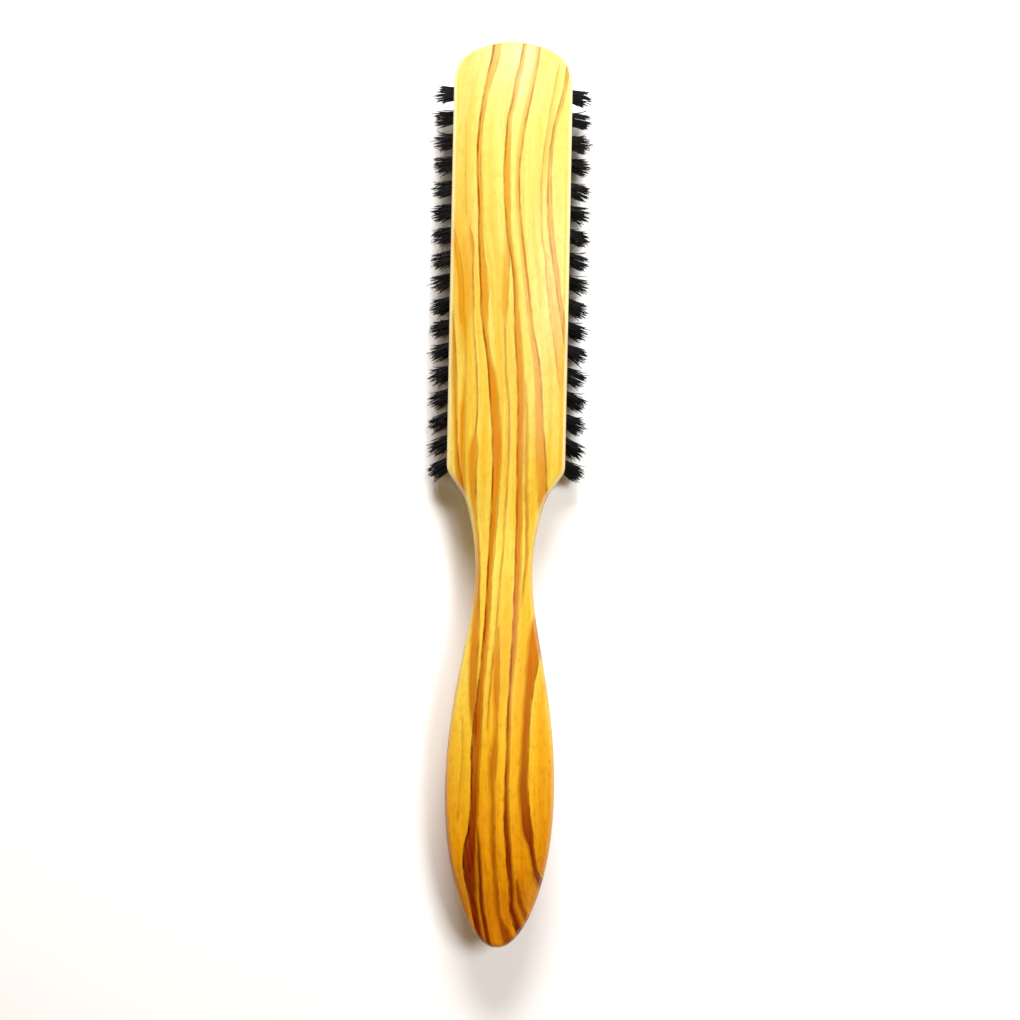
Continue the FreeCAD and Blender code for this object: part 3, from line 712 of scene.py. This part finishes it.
def model_hair(name, lean, sway):
    """Hook, straight leg in the hole, then a free length that bends by lean and sway degrees."""
    hair = start_hair(name)
    tip, heading = Vector((0, 0, 0)), Vector((1, 0, 0))
    far_face(hair, tip)
    bpy.ops.transform.rotate(value=math.radians(HOOK_BEND), orient_axis="Y", orient_type="GLOBAL",
                             center_override=tip)
    heading = Matrix.Rotation(math.radians(-HOOK_BEND), 3, Vector((0, 1, 0))) @ heading
    tip, heading = grow(tip, heading, BEND_LENGTH, turn=-HOOK_BEND, sideways=0, narrow=1)
    tip, heading = grow(tip, heading, INSIDE - BEND_RISE, turn=0, sideways=0, narrow=1)
    for share, narrow in TAPER:
        tip, heading = grow(tip, heading, FREE * share, lean * share, sway * share, narrow)
    bpy.ops.object.mode_set(mode="OBJECT")
    return hair


HAIRS = [
    model_hair("hair_straight", lean=0, sway=0),
    model_hair("hair_out", lean=4, sway=1),
    model_hair("hair_far_out", lean=8, sway=-2),
    model_hair("hair_left", lean=2, sway=5),
    model_hair("hair_right", lean=2, sway=-5),
    model_hair("hair_in", lean=-3, sway=2),
]
STRAY_HAIRS = [
    model_hair("stray_out", lean=16, sway=-6),
    model_hair("stray_aside", lean=9, sway=18),
]
print("faces of a hair:", len(HAIRS[0].data.polygons))

# %% [markdown]
# ## A tuft
# The hole is 2.8 mm wide, and 42 folded hairs fill it, which shows 84 ends. In the hole the hairs
# crowd together, and outside they spread. The ends differ by a millimetre or so, a few stray hairs
# stand away from the rest, and so no tuft has a clean outline. Eight different tufts are made from
# the hairs; the seed keeps them the same each time.

# %% Fill the tufts
MOUTH_RADIUS = 1.22 * MM
FOOT_SHARE = 0.84
ENDS, STRAYS = 84, 5
STRAY_EVERY = ENDS // STRAYS
STRAIGHT_CORE = 0.35
GOLDEN_ANGLE = math.radians(137.508)
# How far a hair's place and turn vary, in radians, and by what share its length falls short.
SHIFT, SPIN = 0.25, 0.9
SHORTENING, MOST_SHORTENING = 0.03, 0.1
dice = random.Random(41)


def spread_place(k, count):
    """Evenly filled disc: place number k of count, as a radius share and an angle."""
    return math.sqrt((k + 0.5) / count), k * GOLDEN_ANGLE


def join(objects):
    """One object from several, with its place and turn worked into its mesh."""
    bpy.ops.object.select_all(action="DESELECT")
    for item in objects:
        item.select_set(True)
    bpy.context.view_layer.objects.active = objects[0]
    bpy.ops.object.join()
    bpy.ops.object.transform_apply(location=True, rotation=True, scale=True)
    return bpy.context.object


def fill_tuft(name):
    """One tuft: its mouth at the origin, free ends towards +Z, feet in the hole below."""
    copies = []
    for k in range(ENDS):
        share, angle = spread_place(k, ENDS)
        angle += dice.uniform(-SHIFT, SHIFT)
        mouth = Vector((math.cos(angle), math.sin(angle), 0)) * MOUTH_RADIUS * share
        foot = mouth * FOOT_SHARE + Vector((0, 0, -INSIDE))
        heading = (mouth - foot).normalized()
        source = HAIRS[0] if share < STRAIGHT_CORE else dice.choice(HAIRS[1:])
        if k % STRAY_EVERY == STRAY_EVERY - 1:
            source = dice.choice(STRAY_HAIRS)
        hair = source.copy()
        hair.data = source.data.copy()
        bpy.context.collection.objects.link(hair)
        spin = Matrix.Rotation(angle + dice.uniform(-SPIN, SPIN), 4, "Z")
        tilt = Vector((0, 0, 1)).rotation_difference(heading).to_matrix().to_4x4()
        length = 1.0 - min(abs(dice.gauss(0, SHORTENING)), MOST_SHORTENING)
        size = Matrix.Diagonal((1, 1, length, 1))
        hair.matrix_world = Matrix.Translation(foot) @ tilt @ spin @ size
        copies.append(hair)
    tuft = join(copies)
    tuft.name = name
    return tuft


TUFTS = [fill_tuft(f"tuft_{letter}") for letter in "abcdefgh"]
for hair in HAIRS + STRAY_HAIRS:
    bpy.data.objects.remove(hair)
print("faces of a tuft:", len(TUFTS[0].data.polygons))

# %% [markdown]
# ## Filling the brush
# The tufts go where the drilled holes are. The underside is part of a cylinder, and each hole points
# at its axis, so rows look further out the nearer they are to the side. Along the brush the tufts
# fan: the first lean towards the toe and the last towards the grip. Each tuft's CAD stand-in is
# replaced rank by rank, and the bristles are cut level at the table, as a maker trims them.

# %% Plant the tufts
RANKS, MIDDLE_ROW = 33, 4
LONG_RANK, SHORT_RANK = (1, 3, 5, 7), (2, 4, 6)
OUTER_ANGLE, TOE_FAN, HEEL_FAN, UNSTEADY = 32.0, -10.0, 16.0, 1.5
HEAD_HALF, EDGE_MARGIN, BRISTLE_HEIGHT = 14.35 * MM, 2.05 * MM, 11.5 * MM
FIRST_RANK_PLACE, LAST_RANK_PLACE = 98.9 * MM, 8.8 * MM
TRIM_LEVEL, TRIM_ACCURACY = 0.02 * MM, 0.001 * MM
face_radius = (HEAD_HALF - EDGE_MARGIN) / math.sin(math.radians(OUTER_ANGLE))
face_axis = BRISTLE_HEIGHT + face_radius
pitch = (FIRST_RANK_PLACE - LAST_RANK_PLACE) / (RANKS - 1)
turns = random.Random(7)


def plant(rank):
    """All tufts of one rank, joined to one piece and trimmed."""
    step = rank - 1
    rows = LONG_RANK if rank % 2 else SHORT_RANK
    fan = TOE_FAN + (HEEL_FAN - TOE_FAN) * step / (RANKS - 1)
    planted = []
    for row in rows:
        roll = math.radians(OUTER_ANGLE * (row - MIDDLE_ROW) / (MIDDLE_ROW - 1))
        height = face_axis - face_radius * math.cos(roll)
        mouth = Vector((face_radius * math.sin(roll), FIRST_RANK_PLACE - step * pitch, height))
        source = turns.choice(TUFTS)
        tuft = source.copy()
        tuft.data = source.data.copy()
        bpy.context.collection.objects.link(tuft)
        tip_over = math.radians(180 - fan + turns.uniform(-UNSTEADY, UNSTEADY))
        aim = Matrix.Rotation(-roll, 4, "Y") @ Matrix.Rotation(tip_over, 4, "X")
        twist = Matrix.Rotation(turns.uniform(0, 2 * math.pi), 4, "Z")
        tuft.matrix_world = Matrix.Translation(mouth) @ aim @ twist
        planted.append(tuft)
    piece = join(planted)
    bpy.ops.object.mode_set(mode="EDIT")
    bpy.ops.mesh.select_all(action="SELECT")
    bpy.ops.mesh.bisect(
        plane_co=(0, 0, TRIM_LEVEL), plane_no=(0, 0, 1),
        use_fill=True, clear_inner=True, threshold=TRIM_ACCURACY,
    )
    bpy.ops.object.mode_set(mode="OBJECT")
    piece.name = f"bristles_{rank:02d}"
    piece.data.materials.clear()
    piece.data.materials.append(bristle)
    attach(piece, "root")
    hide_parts(f"bristle_rank_{rank:02d}")
    return piece


ranks = [plant(rank) for rank in range(1, RANKS + 1)]
for tuft in TUFTS:
    bpy.data.objects.remove(tuft)
print("bristle faces in all:", sum(len(piece.data.polygons) for piece in ranks))
